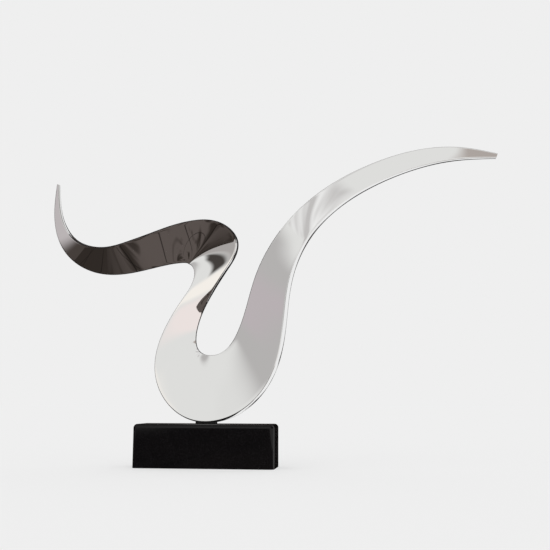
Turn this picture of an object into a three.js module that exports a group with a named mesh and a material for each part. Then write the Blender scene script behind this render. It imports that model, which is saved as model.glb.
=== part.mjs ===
// Abstract metal sculpture: a mirror polished steel ribbon that sweeps down, round and up again
// like a swan's neck, standing on a small black saddle on a polished black stone plinth.
// Millimetres, +Z up. The front faces -Y. The origin is the middle of the plinth's underside.
import * as THREE from 'three';

// Driving sizes
const PLINTH = {
  length: 330,
  depth: 100,
  height: 100,
  topRadius: 9,
  cornerRadius: 10,
};
const RIBBON = {
  height: 670,
  thickness: 28,
};
const SADDLE = {
  length: 48,
  depth: 22,
  leastHeight: 1.2,
};
const GAP = 0.3;

// Facets
const ALONG_STEPS = 220;
const ACROSS_STEPS = 2;
const SADDLE_STEPS = 12;
const CORNER_STEPS = 6;
const EDGE_ROUND_STEPS = 6;

// The ribbon's pose. Each station is one straight line across the ribbon's front face.
// x, up, forward: the middle of that line, and width: its length, as shares of the ribbon's height.
// turn: degrees from +X towards +Z of the line, from the outer edge to the inner edge.
// lean: degrees by which the inner edge comes forward of the outer edge.
// body: the thickness there as a share of the full thickness.
const STATIONS = [
  { x: -0.554, up: 0.860, forward: 0.078, width: 0.008, turn: -15, lean: 12, body: 0.32 },
  { x: -0.549, up: 0.733, forward: 0.075, width: 0.032, turn: 2, lean: 12, body: 0.41 },
  { x: -0.496, up: 0.624, forward: 0.072, width: 0.064, turn: 52, lean: 14, body: 0.52 },
  { x: -0.383, up: 0.574, forward: 0.068, width: 0.098, turn: 79, lean: 17, body: 0.62 },
  { x: -0.246, up: 0.595, forward: 0.054, width: 0.121, turn: 108, lean: 17, body: 0.73 },
  { x: -0.128, up: 0.632, forward: 0.034, width: 0.139, turn: 103, lean: 17, body: 0.82 },
  { x: -0.068, up: 0.646, forward: 0.020, width: 0.160, turn: 78, lean: 14, body: 0.87 },
  { x: -0.018, up: 0.641, forward: 0.009, width: 0.192, turn: 50, lean: 10, body: 0.88 },
  { x: 0.013, up: 0.612, forward: 0.002, width: 0.194, turn: 29, lean: 5, body: 0.90 },
  { x: 0.017, up: 0.578, forward: -0.002, width: 0.164, turn: 20, lean: 2, body: 0.91 },
  { x: 0.001, up: 0.531, forward: -0.005, width: 0.128, turn: 18, lean: -1, body: 0.93 },
  { x: -0.047, up: 0.447, forward: -0.006, width: 0.110, turn: 12, lean: -8, body: 0.95 },
  { x: -0.100, up: 0.338, forward: -0.003, width: 0.134, turn: 16, lean: -14, body: 0.97 },
  { x: -0.110, up: 0.206, forward: 0.005, width: 0.185, turn: 37, lean: -11, body: 1 },
  { x: -0.040, up: 0.129, forward: 0.008, width: 0.234, turn: 72, lean: -7, body: 1 },
  { x: 0.063, up: 0.133, forward: 0.008, width: 0.227, turn: 104, lean: -7, body: 1 },
  { x: 0.147, up: 0.207, forward: 0.003, width: 0.201, turn: 130, lean: -8, body: 1 },
  { x: 0.191, up: 0.332, forward: -0.004, width: 0.163, turn: 161, lean: -12, body: 1 },
  { x: 0.230, up: 0.523, forward: -0.014, width: 0.131, turn: 172, lean: -11, body: 1 },
  { x: 0.350, up: 0.733, forward: -0.035, width: 0.099, turn: 152, lean: -5, body: 0.98 },
  { x: 0.605, up: 0.908, forward: -0.061, width: 0.076, turn: 117, lean: -1, body: 0.85 },
  { x: 0.909, up: 0.976, forward: -0.076, width: 0.048, turn: 98, lean: 1, body: 0.59 },
  { x: 1.046, up: 0.963, forward: -0.081, width: 0.018, turn: 71, lean: 0, body: 0.40 },
];

// A natural cubic spline through values at knots, as a function of the place along the knots.
function naturalSpline(knots, values) {
  const last = knots.length - 1;
  const bend = new Array(last + 1).fill(0);
  const carry = new Array(last + 1).fill(0);
  for (let i = 1; i < last; i += 1) {
    const before = knots[i] - knots[i - 1];
    const after = knots[i + 1] - knots[i];
    const step = (values[i + 1] - values[i]) / after - (values[i] - values[i - 1]) / before;
    const pivot = 2 * (before + after) - before * carry[i - 1];
    carry[i] = after / pivot;
    bend[i] = (6 * step - before * bend[i - 1]) / pivot;
  }
  for (let i = last - 1; i > 0; i -= 1) {
    bend[i] -= carry[i] * bend[i + 1];
  }
  return (place) => {
    let i = 0;
    while (i < last - 1 && place > knots[i + 1]) {
      i += 1;
    }
    const span = knots[i + 1] - knots[i];
    const b = (place - knots[i]) / span;
    const a = 1 - b;
    const curve = ((a ** 3 - a) * bend[i] + (b ** 3 - b) * bend[i + 1]) * span ** 2 / 6;
    return a * values[i] + b * values[i + 1] + curve;
  };
}

// The line across the front face at one station: its outer end, its inner end and the thickness.
function crossLine({ x, up, forward, width, turn, lean, body }) {
  const turned = THREE.MathUtils.degToRad(turn);
  const leaned = THREE.MathUtils.degToRad(lean);
  const half = new THREE.Vector3(
    Math.cos(leaned) * Math.cos(turned),
    -Math.sin(leaned),
    Math.cos(leaned) * Math.sin(turned),
  ).multiplyScalar(width * RIBBON.height / 2);
  const middle = new THREE.Vector3(x, -forward, up).multiplyScalar(RIBBON.height);
  return {
    outer: middle.clone().sub(half),
    inner: middle.clone().add(half),
    thickness: body * RIBBON.thickness,
  };
}

// The stations joined into one smooth ribbon, read by the share of the way from left to right tip.
function makeRibbonCourse() {
  const lines = STATIONS.map(crossLine);
  const knots = [0];
  for (let i = 1; i < lines.length; i += 1) {
    const outerStep = lines[i].outer.distanceTo(lines[i - 1].outer);
    const innerStep = lines[i].inner.distanceTo(lines[i - 1].inner);
    knots.push(knots[i - 1] + (outerStep + innerStep) / 2);
  }
  const length = knots[knots.length - 1];
  const names = Object.keys(STATIONS[0]);
  const splines = names.map((name) => naturalSpline(knots, STATIONS.map((station) => station[name])));
  return (share) => {
    const values = splines.map((spline) => spline(share * length));
    return crossLine(Object.fromEntries(names.map((name, i) => [name, values[i]])));
  };
}

const lineAt = makeRibbonCourse();

// A point of the ribbon's body: depth runs from 0 at the front face to 1 at the back face,
// across from 0 at the outer edge to 1 at the inner edge. The thickness stands square to the line
// across the ribbon and runs as nearly straight back as that allows.
function ribbonPoint(share, depth, across) {
  const { outer, inner, thickness } = lineAt(share);
  const crosswise = inner.clone().sub(outer).normalize();
  const backward = new THREE.Vector3(0, 1, 0).projectOnPlane(crosswise).normalize();
  return outer.clone().lerp(inner, across).addScaledVector(backward, depth * thickness);
}

// The height of the ribbon's outer wall at one place, at its lower long edge.
function undersideAt(share) {
  return Math.min(ribbonPoint(share, 0, 0).z, ribbonPoint(share, 1, 0).z);
}

// Where the ribbon's outer wall is lowest, between the foot of the neck and the rising limb.
function findLowestShare() {
  const lookSteps = 2000;
  let lowest = 0;
  for (let i = 1; i <= lookSteps; i += 1) {
    if (undersideAt(i / lookSteps) < undersideAt(lowest)) {
      lowest = i / lookSteps;
    }
  }
  return lowest;
}

const lowestShare = findLowestShare();
const saddleMiddle = lineAt(lowestShare).outer.x;
const saddleFloor = PLINTH.height + GAP;
const ribbonLift = saddleFloor + SADDLE.leastHeight + GAP - undersideAt(lowestShare);

// The ribbon is a box bent along its course.
function makeRibbon() {
  const geometry = new THREE.BoxGeometry(1, 1, 1, ALONG_STEPS, 1, ACROSS_STEPS);
  const corners = geometry.attributes.position;
  for (let i = 0; i < corners.count; i += 1) {
    const point = ribbonPoint(corners.getX(i) + 0.5, corners.getY(i) + 0.5, corners.getZ(i) + 0.5);
    corners.setXYZ(i, point.x, point.y, point.z + ribbonLift);
  }
  geometry.computeVertexNormals();
  const steel = new THREE.MeshStandardMaterial({ color: 0xd4d5d8, roughness: 0.05, metalness: 1 });
  const mesh = new THREE.Mesh(geometry, steel);
  mesh.name = 'polished_ribbon';
  return mesh;
}

// The share of the course at which the outer edge stands at x, near the lowest place.
function shareAt(x) {
  const reach = 0.06;
  const closeEnough = 1e-6;
  let low = lowestShare - reach;
  let high = lowestShare + reach;
  while (high - low > closeEnough) {
    const middle = (low + high) / 2;
    if (lineAt(middle).outer.x < x) {
      low = middle;
    } else {
      high = middle;
    }
  }
  return (low + high) / 2;
}

// The saddle is a block whose top follows the ribbon's outer wall, one gap below it, front to back as well.
function makeSaddle() {
  const geometry = new THREE.BoxGeometry(SADDLE.length, SADDLE.depth, 1, SADDLE_STEPS, 1, 1);
  const corners = geometry.attributes.position;
  for (let i = 0; i < corners.count; i += 1) {
    const x = saddleMiddle + corners.getX(i);
    const seat = ribbonPoint(shareAt(x), corners.getY(i) / RIBBON.thickness + 0.5, 0);
    const top = seat.z + ribbonLift - GAP;
    corners.setXYZ(i, x, seat.y, corners.getZ(i) > 0 ? top : saddleFloor);
  }
  geometry.computeVertexNormals();
  const rubber = new THREE.MeshStandardMaterial({ color: 0x0b0b0c, roughness: 0.7, metalness: 0 });
  const mesh = new THREE.Mesh(geometry, rubber);
  mesh.name = 'black_saddle';
  return mesh;
}

// A level outline of the plinth with rounded corners, drawn in by inset on every side.
function plinthOutline(inset, z) {
  const { length, depth, cornerRadius } = PLINTH;
  const quarters = [[1, 1], [-1, 1], [-1, -1], [1, -1]];
  return quarters.flatMap(([sideX, sideY], quarter) => {
    const points = [];
    for (let i = 0; i <= CORNER_STEPS; i += 1) {
      const angle = (quarter + i / CORNER_STEPS) * Math.PI / 2;
      points.push([
        sideX * (length / 2 - cornerRadius) + Math.cos(angle) * (cornerRadius - inset),
        sideY * (depth / 2 - cornerRadius) + Math.sin(angle) * (cornerRadius - inset),
        z,
      ]);
    }
    return points;
  });
}

// The plinth is a sawn block: square at the bottom edge, rounded at the corners and round the top.
function makePlinth() {
  const { height, topRadius } = PLINTH;
  const outlines = [plinthOutline(0, 0)];
  for (let i = 0; i <= EDGE_ROUND_STEPS; i += 1) {
    const angle = i / EDGE_ROUND_STEPS * Math.PI / 2;
    const inset = topRadius * (1 - Math.cos(angle));
    outlines.push(plinthOutline(inset, height - topRadius + topRadius * Math.sin(angle)));
  }
  const count = outlines[0].length;
  const faces = [];
  for (let level = 0; level < outlines.length - 1; level += 1) {
    for (let i = 0; i < count; i += 1) {
      const a = level * count + i;
      const b = level * count + (i + 1) % count;
      faces.push(a, b, b + count);
      faces.push(a, b + count, a + count);
    }
  }
  const top = (outlines.length - 1) * count;
  for (let i = 1; i < count - 1; i += 1) {
    faces.push(0, i + 1, i);
    faces.push(top, top + i, top + i + 1);
  }
  const geometry = new THREE.BufferGeometry();
  geometry.setAttribute('position', new THREE.Float32BufferAttribute(outlines.flat(2), 3));
  geometry.setIndex(faces);
  geometry.computeVertexNormals();
  const stone = new THREE.MeshStandardMaterial({ color: 0x0a0a0c, roughness: 0.12, metalness: 0 });
  const mesh = new THREE.Mesh(geometry, stone);
  mesh.name = 'stone_plinth';
  return mesh;
}

const sculpture = new THREE.Group();
sculpture.add(makePlinth());
sculpture.add(makeSaddle());
sculpture.add(makeRibbon());

export default sculpture;
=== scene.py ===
# Abstract metal sculpture: a ribbon of mirror polished stainless steel that sweeps down, round and up again
# like a swan's neck. It stands on a small black saddle on a polished black stone plinth.
# Metres, +Z up, the front faces -Y.
import math

import bmesh
import bpy
from mathutils import Matrix, Vector


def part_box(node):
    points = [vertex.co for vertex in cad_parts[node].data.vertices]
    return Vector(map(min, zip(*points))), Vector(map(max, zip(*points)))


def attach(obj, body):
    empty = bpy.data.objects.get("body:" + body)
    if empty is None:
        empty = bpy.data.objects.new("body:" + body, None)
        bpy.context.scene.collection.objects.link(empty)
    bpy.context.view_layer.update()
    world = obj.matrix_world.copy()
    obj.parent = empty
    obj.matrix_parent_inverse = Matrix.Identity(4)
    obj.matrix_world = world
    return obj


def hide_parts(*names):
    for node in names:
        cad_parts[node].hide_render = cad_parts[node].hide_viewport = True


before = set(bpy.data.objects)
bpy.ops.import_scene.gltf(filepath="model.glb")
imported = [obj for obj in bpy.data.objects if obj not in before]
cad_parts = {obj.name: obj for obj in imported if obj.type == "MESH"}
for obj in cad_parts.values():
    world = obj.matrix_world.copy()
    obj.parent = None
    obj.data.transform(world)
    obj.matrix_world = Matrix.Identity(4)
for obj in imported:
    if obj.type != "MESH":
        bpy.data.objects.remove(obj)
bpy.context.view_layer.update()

# Stone plinth
# The real piece is a solid block of black granite, sawn square and then polished. Its upright corners and its
# top edges are ground round, and its bottom edges stay square where it stands on the ground.
PLINTH_LENGTH = 0.330
PLINTH_DEPTH = 0.100
PLINTH_HEIGHT = 0.100
PLINTH_TOP_RADIUS = 0.009
PLINTH_CORNER_RADIUS = 0.010
TOP_STEPS = 12
CORNER_STEPS = 14
GRANITE_BLACK = "#0b0a0b"
GRANITE_FLECK = "#1d1b1d"
FLECK_SIZE = 0.0015
# Where the fleck noise starts to lighten the stone, and where it has its lighter tone in full.
FLECK_FROM = 0.52
FLECK_FULL = 0.72
# Where two faces meet at more than this, the edge between them stays sharp.
SHARP_ANGLE = math.radians(40)
ROUND_EDGE = {"profile": 0.5, "affect": "EDGES"}


def linear(colour):
    """The linear light values of an sRGB hex colour."""
    shares = [int(colour[i:i + 2], 16) / 255 for i in (1, 3, 5)]
    return [s / 12.92 if s <= 0.04045 else ((s + 0.055) / 1.055) ** 2.4 for s in shares] + [1]


def add_node(tree, kind, inputs=(), **settings):
    """Adds a node, sets its own properties and fills its inputs with values or with other nodes' outputs."""
    node = tree.nodes.new("ShaderNode" + kind)
    for name, value in settings.items():
        setattr(node, name, value)
    for socket, value in dict(inputs).items():
        if isinstance(value, bpy.types.NodeSocket):
            tree.links.new(value, node.inputs[socket])
        else:
            node.inputs[socket].default_value = value
    return node


def new_material(name, values):
    """A material with its Principled shader's sockets set, its node tree and that shader."""
    material = bpy.data.materials.new(name)
    material.use_nodes = True
    shader = material.node_tree.nodes["Principled BSDF"]
    for socket, value in values.items():
        shader.inputs[socket].default_value = value
    return material, material.node_tree, shader


def new_piece(name, mesh, *materials):
    """An object for a mesh, smooth over its soft bends and sharp at its edges."""
    mesh.shade_smooth()
    mesh.set_sharp_from_angle(angle=SHARP_ANGLE)
    for material in materials:
        mesh.materials.append(material)
    piece = bpy.data.objects.new(name, mesh)
    bpy.context.collection.objects.link(piece)
    flats = piece.modifiers.new("keep the flat faces flat", "WEIGHTED_NORMAL")
    flats.keep_sharp = True
    return piece


def polished_granite():
    """Black granite, ground and polished: near black with faint grey flecks, under a clear gloss."""
    material, tree, shader = new_material(
        "polished black granite", {"Roughness": 0.07, "IOR": 1.5, "Specular IOR Level": 0.25}
    )
    place = add_node(tree, "TexCoord")
    flecks = add_node(
        tree, "TexNoise", {"Vector": place.outputs["Object"], "Scale": 1 / FLECK_SIZE, "Detail": 2.0}
    )
    colour = add_node(tree, "ValToRGB", {"Fac": flecks.outputs["Fac"]})
    ground, fleck = colour.color_ramp.elements
    ground.position = FLECK_FROM
    ground.color = linear(GRANITE_BLACK)
    fleck.position = FLECK_FULL
    fleck.color = linear(GRANITE_FLECK)
    tree.links.new(colour.outputs["Color"], shader.inputs["Base Color"])
    return material


def make_plinth():
    """A block with its four upright corners rounded first, and then its top edges all the way round."""
    block = bmesh.new()
    bmesh.ops.create_cube(block, size=1)
    bmesh.ops.scale(block, vec=(PLINTH_LENGTH, PLINTH_DEPTH, PLINTH_HEIGHT), verts=block.verts)
    bmesh.ops.translate(block, vec=(0, 0, PLINTH_HEIGHT / 2), verts=block.verts)
    upright = [e for e in block.edges if abs(e.verts[0].co.z - e.verts[1].co.z) > PLINTH_HEIGHT / 2]
    bmesh.ops.bevel(block, geom=upright, offset=PLINTH_CORNER_RADIUS, segments=CORNER_STEPS, **ROUND_EDGE)
    top = [e for e in block.edges if min(v.co.z for v in e.verts) > PLINTH_HEIGHT / 2]
    bmesh.ops.bevel(block, geom=top, offset=PLINTH_TOP_RADIUS, segments=TOP_STEPS, **ROUND_EDGE)
    mesh = bpy.data.meshes.new("polished_plinth")
    block.to_mesh(mesh)
    block.free()
    return mesh


plinth = new_piece("polished_plinth", make_plinth(), polished_granite())
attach(plinth, "root")
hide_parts("stone_plinth")

# Polished ribbon
# The real piece is a hollow ribbon of stainless steel sheet with a rectangular section, welded along its four
# long edges, ground flush and polished to a mirror.
RIBBON_HEIGHT = 0.670
RIBBON_THICKNESS = 0.028
RIBBON_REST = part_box("polished_ribbon")[0][2]
EDGE_RADIUS = 0.0016
WALL_CROWN = 0.0005
# At the thin tips the rounding and the crown are at most these shares of the section.
EDGE_SHARE = 0.2
CROWN_SHARE = 0.02
# The back sheet's two welds stay half polished all the way. The front sheet's do so only along the left wing
# and inside the gap, where a wheel hardly reaches: from and to as shares of the way from the left tip. On
# these welds the near black tone is painted shade, a dark line along the edges in place of the dark that they
# mirror.
INNER_SHADED_SEAM = [(0.07, 0.28), (0.35, 0.45), (0.53, 0.71)]
OUTER_SHADED_SEAM = [(0.07, 0.28)]
ALONG_STEPS = 720
FACE_STEPS = 16
WALL_STEPS = 6
EDGE_STEPS = 3
# The ribbon is drawn by straight lines across its front face, from the outer to the inner edge, at stations
# from the left tip to the right tip. Shares of the height: middle x, up and forward, and width. Degrees: turn
# from +X towards +Z, and lean of the inner edge forward. The last is the share of the full thickness.
STATIONS = [
    (-0.554, 0.860, 0.078, 0.008, -15, 12, 0.32),
    (-0.549, 0.733, 0.075, 0.032, 2, 12, 0.41),
    (-0.496, 0.624, 0.072, 0.064, 52, 14, 0.52),
    (-0.383, 0.574, 0.068, 0.098, 79, 17, 0.62),
    (-0.246, 0.595, 0.054, 0.121, 108, 17, 0.73),
    (-0.128, 0.632, 0.034, 0.139, 103, 17, 0.82),
    (-0.068, 0.646, 0.020, 0.160, 78, 14, 0.87),
    (-0.018, 0.641, 0.009, 0.192, 50, 10, 0.88),
    (0.013, 0.612, 0.002, 0.194, 29, 5, 0.90),
    (0.017, 0.578, -0.002, 0.164, 20, 2, 0.91),
    (0.001, 0.531, -0.005, 0.128, 18, -1, 0.93),
    (-0.047, 0.447, -0.006, 0.110, 12, -8, 0.95),
    (-0.100, 0.338, -0.003, 0.134, 16, -14, 0.97),
    (-0.110, 0.206, 0.005, 0.185, 37, -11, 1),
    (-0.040, 0.129, 0.008, 0.234, 72, -7, 1),
    (0.063, 0.133, 0.008, 0.227, 104, -7, 1),
    (0.147, 0.207, 0.003, 0.201, 130, -8, 1),
    (0.191, 0.332, -0.004, 0.163, 161, -12, 1),
    (0.230, 0.523, -0.014, 0.131, 172, -11, 1),
    (0.350, 0.733, -0.035, 0.099, 152, -5, 0.98),
    (0.605, 0.908, -0.061, 0.076, 117, -1, 0.85),
    (0.909, 0.976, -0.076, 0.048, 98, 1, 0.59),
    (1.046, 0.963, -0.081, 0.018, 71, 0, 0.40),
]
STEEL_COLOUR = "#f4f4f5"
# The welds' near black is painted shade: it draws a dark line along the edges, far darker than ground steel.
WELD_AND_EDGE_SHADE_COLOUR = "#3a3736"
# The grinding leaves waves about this long and at most this deep.
WAVE_SIZE = 0.07
WAVE_DEPTH = 0.00015


def natural_spline(knots, values):
    """A natural cubic spline through the values, as a function of the place along the knots."""
    last = len(knots) - 1
    bend = [0.0] * (last + 1)
    carry = [0.0] * (last + 1)
    for i in range(1, last):
        before = knots[i] - knots[i - 1]
        after = knots[i + 1] - knots[i]
        step = (values[i + 1] - values[i]) / after - (values[i] - values[i - 1]) / before
        pivot = 2 * (before + after) - before * carry[i - 1]
        carry[i] = after / pivot
        bend[i] = (6 * step - before * bend[i - 1]) / pivot
    for i in range(last - 1, 0, -1):
        bend[i] -= carry[i] * bend[i + 1]

    def at(place):
        i = 0
        while i < last - 1 and place > knots[i + 1]:
            i += 1
        span = knots[i + 1] - knots[i]
        b = (place - knots[i]) / span
        a = 1 - b
        curve = ((a ** 3 - a) * bend[i] + (b ** 3 - b) * bend[i + 1]) * span ** 2 / 6
        return a * values[i] + b * values[i + 1] + curve

    return at


def cross_line(x, up, forward, width, turn, lean, body):
    """The line across the front face at one place: outer end, inner end and thickness."""
    turned = math.radians(turn)
    leaned = math.radians(lean)
    flat = math.cos(leaned)
    along = Vector((flat * math.cos(turned), -math.sin(leaned), flat * math.sin(turned)))
    half = along * width * RIBBON_HEIGHT / 2
    middle = Vector((x, -forward, up)) * RIBBON_HEIGHT
    return middle - half, middle + half, body * RIBBON_THICKNESS


def ribbon_course():
    """The stations joined smoothly, as a function that gives the cross line at each share of the way."""
    lines = [cross_line(*station) for station in STATIONS]
    knots = [0.0]
    for (outer_a, inner_a, _), (outer_b, inner_b, _) in zip(lines, lines[1:]):
        knots.append(knots[-1] + ((outer_b - outer_a).length + (inner_b - inner_a).length) / 2)
    splines = [natural_spline(knots, column) for column in zip(*STATIONS)]
    return lambda share: cross_line(*(spline(share * knots[-1]) for spline in splines))


def ribbon_section(width, thickness, inner_shaded_seam, outer_shaded_seam):
    """The section once round, from the outer edge along the front face: points (across, deep), and for each
    one whether the strip that starts there is part of a half polished weld, which carries painted edge shade."""
    radius = min(EDGE_RADIUS, width * EDGE_SHARE, thickness * EDGE_SHARE)
    crown = min(WALL_CROWN, width * CROWN_SHARE)
    near = crown + radius
    far = width - crown - radius
    low = radius
    high = thickness - radius
    sides = [
        (Vector((near, 0)), Vector((far, 0)), FACE_STEPS, 0, inner_shaded_seam),
        (Vector((width - crown, low)), Vector((width - crown, high)), WALL_STEPS, crown, True),
        (Vector((far, thickness)), Vector((near, thickness)), FACE_STEPS, 0, True),
        (Vector((crown, high)), Vector((crown, low)), WALL_STEPS, crown, outer_shaded_seam),
    ]
    points = []
    welded_and_shaded = []
    for start, end, steps, bulge, shaded_seam in sides:
        step = (end - start).normalized()
        outward = Vector((step.y, -step.x))
        for i in range(steps + 1):
            share = i / steps
            points.append(start.lerp(end, share) + outward * bulge * 4 * share * (1 - share))
            welded_and_shaded.append(shaded_seam and i == steps)
        for i in range(1, EDGE_STEPS):
            angle = math.radians(90) * i / EDGE_STEPS
            points.append(end + (outward * (math.cos(angle) - 1) + step * math.sin(angle)) * radius)
            welded_and_shaded.append(shaded_seam)
    return points, welded_and_shaded


def make_ribbon():
    """The ribbon's mesh, one rounded section after another, closed by a flat cap at each tip."""
    line_at = ribbon_course()
    sections = []
    shaded_seams = []
    for i in range(ALONG_STEPS + 1):
        way = i / ALONG_STEPS
        outer, inner, thickness = line_at(way)
        across = (inner - outer).normalized()
        deep = (Vector((0, 1, 0)) - across * across.y).normalized()
        front_shaded_seams = [any(start < way < end for start, end in shaded_seam) for shaded_seam in (INNER_SHADED_SEAM, OUTER_SHADED_SEAM)]
        points, welded_and_shaded = ribbon_section((inner - outer).length, thickness, *front_shaded_seams)
        sections.append([outer + across * a + deep * d for a, d in points])
        shaded_seams += welded_and_shaded
    count = len(welded_and_shaded)
    lift = RIBBON_REST - min(point.z for section in sections for point in section)
    vertices = [point + Vector((0, 0, lift)) for section in sections for point in section]
    caps = [tuple(range(count - 1, -1, -1)), tuple(range(ALONG_STEPS * count, (ALONG_STEPS + 1) * count))]
    strips = []
    for i in range(ALONG_STEPS):
        for j in range(count):
            a = i * count + j
            b = i * count + (j + 1) % count
            strips.append((a, b, b + count, a + count))
    mesh = bpy.data.meshes.new("mirror_ribbon")
    mesh.from_pydata(vertices, [], caps + strips)
    # Strips on the welds take the second material, with its painted edge shade.
    for strip, shaded_seam in zip(mesh.polygons[len(caps):], shaded_seams):
        strip.material_index = int(shaded_seam)
    return mesh


def mirror_steel():
    """Stainless steel sheet, ground and buffed: a clear mirror, very slightly wavy from the grinding."""
    material, tree, shader = new_material(
        "mirror polished stainless steel",
        {"Base Color": linear(STEEL_COLOUR), "Metallic": 1.0, "Roughness": 0.02},
    )
    place = add_node(tree, "TexCoord")
    waves = add_node(
        tree, "TexNoise", {"Vector": place.outputs["Object"], "Scale": 1 / WAVE_SIZE, "Detail": 0.0}
    )
    surface = add_node(tree, "Bump", {"Height": waves.outputs["Fac"], "Distance": WAVE_DEPTH})
    tree.links.new(surface.outputs["Normal"], shader.inputs["Normal"])
    return material


def ground_weld_and_edge_shade():
    """The welds, ground round and only half polished. Their dark tone is painted shade: a thin dark line
    along the edges.
    """
    return new_material(
        "ground stainless steel weld and painted edge shade",
        {"Base Color": linear(WELD_AND_EDGE_SHADE_COLOUR), "Metallic": 1.0, "Roughness": 0.3},
    )[0]


ribbon = new_piece("mirror_ribbon", make_ribbon(), mirror_steel(), ground_weld_and_edge_shade())
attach(ribbon, "root")
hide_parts("polished_ribbon")

# Black saddle
# The real piece is a small seat of rubber, cut to the underside of the loop and glued between the loop and
# the plinth, where it keeps the steel off the stone. Its black is also painted shade: the dark contact shadow
# under the loop.
SADDLE_DEPTH = 0.022
SADDLE_GAP = 0.0003
SADDLE_EDGE = 0.0004
SADDLE_EDGE_STEPS = 2
SADDLE_STEPS = 48
# Near black: the rubber's own colour, and also painted shade for the contact shadow under the loop.
RUBBER_BLACK_AND_CONTACT_SHADE = "#121212"


def black_rubber_and_contact_shade():
    """Black rubber sheet: matt and even, so that it shows only as a dark wedge, painted shade for the contact
    shadow.
    """
    return new_material("black rubber with painted contact shade", {"Base Color": linear(RUBBER_BLACK_AND_CONTACT_SHADE), "Roughness": 0.75})[0]


def wall_height(ribbon_piece, x, y):
    """The height of the ribbon's outer wall over the plinth at x and y."""
    return ribbon_piece.ray_cast(Vector((x, y, PLINTH_HEIGHT)), Vector((0, 0, 1)))[1].z


def make_saddle(ribbon_piece):
    """A block between the plinth and the loop, its top cut to the loop's outer wall."""
    low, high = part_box("black_saddle")
    middle = (low[1] + high[1]) / 2
    block = bmesh.new()
    rows = []
    for i in range(SADDLE_STEPS + 1):
        x = low[0] + (high[0] - low[0]) * i / SADDLE_STEPS
        row = []
        for y in (middle - SADDLE_DEPTH / 2, middle + SADDLE_DEPTH / 2):
            top = wall_height(ribbon_piece, x, y) - SADDLE_GAP
            row += [block.verts.new((x, y, low[2])), block.verts.new((x, y, top))]
        rows.append(row)
    for (a, b, c, d), (e, f, g, h) in zip(rows, rows[1:]):
        for corners in ((a, e, f, b), (c, d, h, g), (b, f, h, d), (a, c, g, e)):
            block.faces.new(corners)
    block.faces.new([rows[0][k] for k in (0, 1, 3, 2)])
    block.faces.new([rows[-1][k] for k in (0, 2, 3, 1)])
    bmesh.ops.recalc_face_normals(block, faces=block.faces)
    sharp = [e for e in block.edges if e.calc_face_angle() > SHARP_ANGLE]
    bmesh.ops.bevel(block, geom=sharp, offset=SADDLE_EDGE, segments=SADDLE_EDGE_STEPS, **ROUND_EDGE)
    mesh = bpy.data.meshes.new("rubber_saddle_with_contact_shade")
    block.to_mesh(mesh)
    block.free()
    return mesh


saddle = new_piece("rubber_saddle_with_contact_shade", make_saddle(ribbon), black_rubber_and_contact_shade())
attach(saddle, "root")
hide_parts("black_saddle")

# Studio
# A plain pale floor meets a plain pale background, with soft light from all round. The steel is a mirror, so
# it also needs something to show: dark slabs on the ground, and pale walls with soft parts all round.
PAPER = "#efefef"
FLOOR_REACH = 30
# The share of light that the paper gives back, and the share of its tone that takes no shadow.
FLOOR_SHARE = 0.9
PLAIN_SHARE = 0.6
# The slabs seen from above: from under the plinth's front outwards, and less far on the right.
SLABS_OUTLINE = [(-1.43, -2.85), (0.62, -2.85), (0.62, -1.75), (0.95, -1.75), (0.95, -0.04), (-1.43, -0.04)]
SLABS_LEVEL = 0.001
SLAB_WIDTH = 0.45
SLAB_LENGTH = 1.35
SLAB_SHIFT = 0.10
SLAB_DARK = "#322c28"
SLAB_LIGHT = "#5c5450"
SLAB_GAP = "#1c1816"
GAP_WIDTH = 0.012
# The slabs are dark left of the first x. Towards the second one, long clouds lighten them more and more.
DARK_LEFT_OF = -0.6
LIGHT_RIGHT_OF = 0.15
CLOUD_WIDTH = 0.16
CLOUD_LENGTH = 0.7
# Where the cloud noise starts to lighten the slabs, and where they have their lighter tone in full.
CLOUD_FROM = 0.36
CLOUD_FULL = 0.5
FRONT_WALL = "#e7e7e4"
BACK_WALL = "#f4f4f3"
# How far a direction points back, from -1 to 1, where the back wall's tone starts and where it is full.
BACK_FROM = -0.1
BACK_FULL = 0.3
# Soft parts of the walls: from and to in degrees of azimuth from straight ahead towards +X, from and to in
# degrees above the horizon, softness in degrees and colour. The later ones lie over the earlier ones.
FRONT_PARTS = [
    (8, 30, -14, 3.5, 3, "#f5ebe7"),
    (-5, 6, -14, 9.5, 2.5, "#fef9f1"),
    (-40, -5, -14, -5, 2, "#ada9a6"),
    (-75, -26, -40, 0, 3, "#49423e"),
    (-75, -16.5, 7.5, 29, 3.5, "#bbb9b7"),
    (-42, -28, 13, 20, 4, "#c0b8ba"),
    (-75, -36, -5, 40, 5, "#c2bcbc"),
    (-15, -6, -4.5, 2, 1.5, "#46423f"),
    (10.9, 24, 15, 20, 0.4, "#b3aba5"),
    (-180, 180, 52, 95, 8, "#a5a2a0"),
    (-150, -61, -30, 38, 5, "#3a3634"),
    (44, 130, 3, 55, 4, "#3a3634"),
]
BACK_PARTS = [
    (-60, 23.5, -6, 60, 1.5, "#3f3b39"),
    (-60, 15, -10.5, 0, 1.5, "#2a2725"),
    (-60, 10, -13, 0, 1.5, "#2a2725"),
    (3, 11.5, -19, 0, 1.5, "#2a2725"),
    (-4, 17, -5.5, 20, 2, "#141211"),
    (-28, 14, 8, 26, 3, "#0c0b0b"),
    (44, 76, -40, 50, 4, "#c3c1be"),
]
# The ceiling has soft pale beams: their place as above, their width and length in degrees, and two colours.
CEILING = (-13, 16, 25, 40, 1)
BEAM_WIDTH = 3.0
BEAM_LENGTH = 30.0
BEAM_LIGHT = "#fafaf8"
BEAM_DARK = "#c8c6c4"
# Where the beam noise starts to lighten the ceiling, and where it has its lighter tone in full.
BEAM_FROM = 0.35
BEAM_FULL = 0.65
# The sockets of a Mix node that mixes colours.
MIX_SHARE = 0
MIX_UNDER = 6
MIX_OVER = 7
MIX_RESULT = 2


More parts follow.
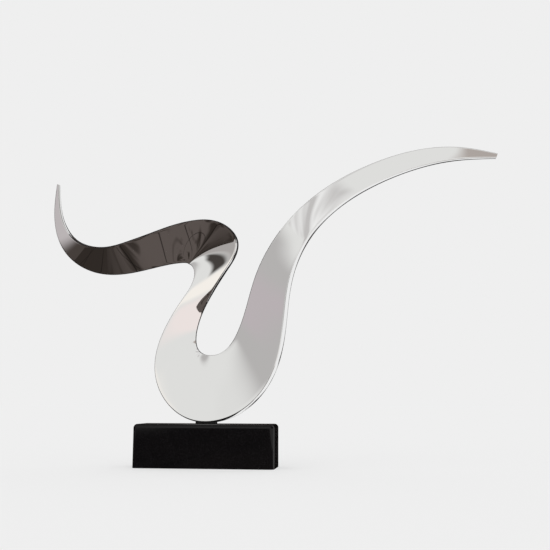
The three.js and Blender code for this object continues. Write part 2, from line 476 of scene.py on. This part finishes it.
def plain_sheet(name, outline, height, material):
    """A level sheet that belongs to the studio and not to the object."""
    mesh = bpy.data.meshes.new(name)
    mesh.from_pydata([(x, y, height) for x, y in outline], [], [tuple(range(len(outline)))])
    mesh.materials.append(material)
    sheet = bpy.data.objects.new(name, mesh)
    bpy.context.collection.objects.link(sheet)
    return sheet


def pale_paper():
    """Matt paper: the same pale tone as the background, with a faint soft shadow where the plinth stands."""
    material, tree, shader = new_material(
        "pale paper",
        {"Base Color": [FLOOR_SHARE] * 3 + [1], "Roughness": 1.0, "Specular IOR Level": 0.0},
    )
    plain = add_node(tree, "Emission", {"Color": linear(PAPER)})
    blend = add_node(tree, "MixShader", {"Fac": PLAIN_SHARE, 1: shader.outputs[0], 2: plain.outputs[0]})
    tree.links.new(blend.outputs[0], tree.nodes["Material Output"].inputs["Surface"])
    return material


def dark_slabs():
    """Dark slabs laid side by side with gaps between them, cloudy and lighter towards the right."""
    material, tree, _ = new_material("dark slabs", {})
    place = add_node(tree, "TexCoord").outputs["Object"]
    turned = add_node(
        tree, "Mapping", {"Vector": place, "Location": (0, SLAB_SHIFT, 0), "Rotation": (0, 0, math.pi / 2)}
    )
    layout = {
        "Vector": turned.outputs[0],
        "Scale": 1.0,
        "Brick Width": SLAB_LENGTH,
        "Row Height": SLAB_WIDTH,
        "Mortar Size": GAP_WIDTH,
        "Mortar Smooth": 1.0,
    }
    slabs = add_node(tree, "TexBrick", layout, offset=0.0)
    along = add_node(tree, "SeparateXYZ", {0: place})
    rightward = {"Value": along.outputs["X"], "From Min": DARK_LEFT_OF, "From Max": LIGHT_RIGHT_OF}
    stretched = add_node(
        tree, "Mapping", {"Vector": place, "Scale": (1 / CLOUD_WIDTH, 1 / CLOUD_LENGTH, 1)}
    )
    clouds = add_node(tree, "TexNoise", {"Vector": stretched.outputs[0], "Scale": 1.0, "Detail": 2.0})
    cloudy = {"Value": clouds.outputs["Fac"], "From Min": CLOUD_FROM, "From Max": CLOUD_FULL}
    share = add_node(
        tree,
        "Math",
        {
            0: add_node(tree, "MapRange", rightward, interpolation_type="SMOOTHSTEP").outputs[0],
            1: add_node(tree, "MapRange", cloudy, interpolation_type="SMOOTHSTEP").outputs[0],
        },
        operation="MULTIPLY",
    )
    tones = {MIX_SHARE: share.outputs[0], MIX_UNDER: linear(SLAB_DARK), MIX_OVER: linear(SLAB_LIGHT)}
    tone = add_node(tree, "Mix", tones, data_type="RGBA").outputs[MIX_RESULT]
    gaps = {MIX_SHARE: slabs.outputs["Fac"], MIX_UNDER: tone, MIX_OVER: linear(SLAB_GAP)}
    gapped = add_node(tree, "Mix", gaps, data_type="RGBA").outputs[MIX_RESULT]
    glow = add_node(tree, "Emission", {"Color": gapped})
    tree.links.new(glow.outputs[0], tree.nodes["Material Output"].inputs["Surface"])
    return material


# The paper isn't mirrored, and the slabs show only where they are mirrored.
square = [(-1, -1), (1, -1), (1, 1), (-1, 1)]
floor = plain_sheet("floor", [(x * FLOOR_REACH, y * FLOOR_REACH) for x, y in square], 0, pale_paper())
floor.visible_glossy = False
slabs = plain_sheet("slabs", SLABS_OUTLINE, SLABS_LEVEL, dark_slabs())
slabs.visible_camera = False
slabs.visible_diffuse = False
slabs.visible_shadow = False

world = bpy.data.worlds.new("studio")
bpy.context.scene.world = world
world.use_nodes = True
world.cycles.sampling_method = "NONE"
room = world.node_tree


def lay_part(walls, azimuth, elevation, bounds, colour):
    """The walls with one soft-edged part laid over them."""
    west, east, low, high, softness = bounds
    edges = [
        (azimuth, west - softness, west + softness),
        (azimuth, east + softness, east - softness),
        (elevation, low - softness, low + softness),
        (elevation, high + softness, high - softness),
    ]
    share = 1.0
    for direction, outside, inside in edges:
        step = add_node(
            room,
            "MapRange",
            {"Value": direction, "From Min": outside, "From Max": inside},
            interpolation_type="SMOOTHSTEP",
        )
        share = add_node(room, "Math", {0: share, 1: step.outputs[0]}, operation="MULTIPLY").outputs[0]
    layers = {MIX_SHARE: share, MIX_UNDER: walls, MIX_OVER: colour}
    return add_node(room, "Mix", layers, data_type="RGBA").outputs[MIX_RESULT]


def ceiling_beams(azimuth, elevation):
    """Soft beams that run up and to the left, in tones between light and dark."""
    across = add_node(room, "Math", {0: azimuth, 1: elevation}, operation="ADD")
    along = add_node(room, "Math", {0: elevation, 1: azimuth}, operation="SUBTRACT")
    place = add_node(room, "CombineXYZ", {0: across.outputs[0], 1: along.outputs[0]})
    scaled = add_node(
        room, "Mapping", {"Vector": place.outputs[0], "Scale": (1 / BEAM_WIDTH, 1 / BEAM_LENGTH, 1)}
    )
    waves = add_node(room, "TexNoise", {"Vector": scaled.outputs[0], "Scale": 1.0, "Detail": 1.0})
    striped = {"Value": waves.outputs["Fac"], "From Min": BEAM_FROM, "From Max": BEAM_FULL}
    share = add_node(room, "MapRange", striped)
    tones = {MIX_SHARE: share.outputs[0], MIX_UNDER: linear(BEAM_DARK), MIX_OVER: linear(BEAM_LIGHT)}
    return add_node(room, "Mix", tones, data_type="RGBA").outputs[MIX_RESULT]


sight = add_node(room, "SeparateXYZ", {0: add_node(room, "TexCoord").outputs["Generated"]})
rise = add_node(room, "Math", {0: sight.outputs["Z"]}, operation="ARCSINE")
elevation = add_node(room, "Math", {0: rise.outputs[0]}, operation="DEGREES").outputs[0]
ahead = add_node(room, "Math", {0: sight.outputs["Y"], 1: -1.0}, operation="MULTIPLY")
front_turn = add_node(room, "Math", {0: sight.outputs["X"], 1: ahead.outputs[0]}, operation="ARCTAN2")
back_turn = add_node(room, "Math", {0: sight.outputs["X"], 1: sight.outputs["Y"]}, operation="ARCTAN2")
front_azimuth = add_node(room, "Math", {0: front_turn.outputs[0]}, operation="DEGREES").outputs[0]
back_azimuth = add_node(room, "Math", {0: back_turn.outputs[0]}, operation="DEGREES").outputs[0]
backward = {"Value": sight.outputs["Y"], "From Min": BACK_FROM, "From Max": BACK_FULL}
back_share = add_node(room, "MapRange", backward).outputs["Result"]
plain = {MIX_SHARE: back_share, MIX_UNDER: linear(FRONT_WALL), MIX_OVER: linear(BACK_WALL)}
walls = add_node(room, "Mix", plain, data_type="RGBA").outputs[MIX_RESULT]
walls = lay_part(walls, front_azimuth, elevation, CEILING, ceiling_beams(front_azimuth, elevation))
for *bounds, colour in FRONT_PARTS:
    walls = lay_part(walls, front_azimuth, elevation, bounds, linear(colour))
for *bounds, colour in BACK_PARTS:
    walls = lay_part(walls, back_azimuth, elevation, bounds, linear(colour))
rays = add_node(room, "LightPath")
mirrored = {MIX_SHARE: rays.outputs["Is Glossy Ray"], MIX_UNDER: linear(PAPER), MIX_OVER: walls}
shown = add_node(room, "Mix", mirrored, data_type="RGBA").outputs[MIX_RESULT]
shown_light = add_node(room, "Background", {"Color": shown})
# This light is strong enough for the paper that it lights to have the background's own tone.
even_light = add_node(room, "Background", {"Color": [1, 1, 1, 1], "Strength": linear(PAPER)[0] / FLOOR_SHARE})
light = add_node(
    room,
    "MixShader",
    {"Fac": rays.outputs["Is Diffuse Ray"], 1: shown_light.outputs[0], 2: even_light.outputs[0]},
)
room.links.new(light.outputs[0], room.nodes["World Output"].inputs["Surface"])

bpy.context.scene.view_settings.view_transform = "Standard"

# Camera
# It stands low in front and looks up at the sculpture, turned a little so that the right end is nearer.
# Its angles are in degrees, and its film width and lens length in millimetres.
CAMERA_PLACE = (0.3874, -1.8825, 0.1496)
CAMERA_TURN = 6.86
CAMERA_RISE = 9.06
CAMERA_ROLL = 0.12
FILM_WIDTH = 36
LENS_LENGTH = 52.36

camera_data = bpy.data.cameras.new("camera")
camera_data.sensor_width = FILM_WIDTH
camera_data.lens = LENS_LENGTH
camera = bpy.data.objects.new("camera", camera_data)
bpy.context.collection.objects.link(camera)
turned = Matrix.Rotation(math.radians(CAMERA_TURN), 4, "Z")
raised = Matrix.Rotation(math.radians(90 + CAMERA_RISE), 4, "X")
rolled = Matrix.Rotation(math.radians(CAMERA_ROLL), 4, "Z")
camera.matrix_world = Matrix.Translation(CAMERA_PLACE) @ turned @ raised @ rolled
bpy.context.scene.camera = camera
